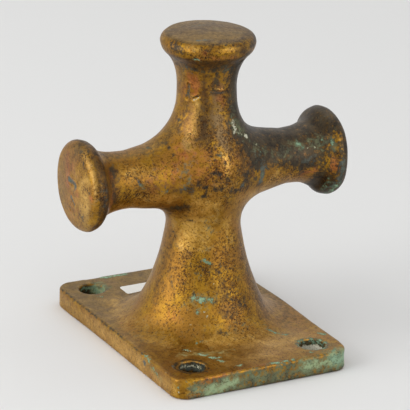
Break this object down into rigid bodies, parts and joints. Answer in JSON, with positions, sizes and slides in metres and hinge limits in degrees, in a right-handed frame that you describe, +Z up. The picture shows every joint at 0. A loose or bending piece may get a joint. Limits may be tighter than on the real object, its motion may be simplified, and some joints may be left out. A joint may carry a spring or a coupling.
{
  "type": "mooring bollard",
  "caption": "Cross-shaped cast bronze mooring bollard on a rectangular bolt-down deck plate, with mushroom heads on its neck and arms for holding turns of rope.",
  "frame": {"origin": "centre of the base plate's underside, on the post's axis", "axes": "+Z up along the post, +X along the arms towards the right arm, +Y towards the side with the paper label"},
  "size_m": [0.18, 0.171, 0.2],
  "materials": {
    "cast_bronze": "aged cast bronze with golden-brown patina, dark pits and patches of green verdigris",
    "white_paper": "matt white self-adhesive paper"
  },
  "bodies": {
    "root": {"base_plate": "cast_bronze", "pedestal": "cast_bronze", "hub": "cast_bronze", "neck": "cast_bronze", "top_head": "cast_bronze", "left_arm": "cast_bronze", "left_head": "cast_bronze", "right_arm": "cast_bronze", "right_head": "cast_bronze", "paper_label": "white_paper"}
  },
  "joints": []
}
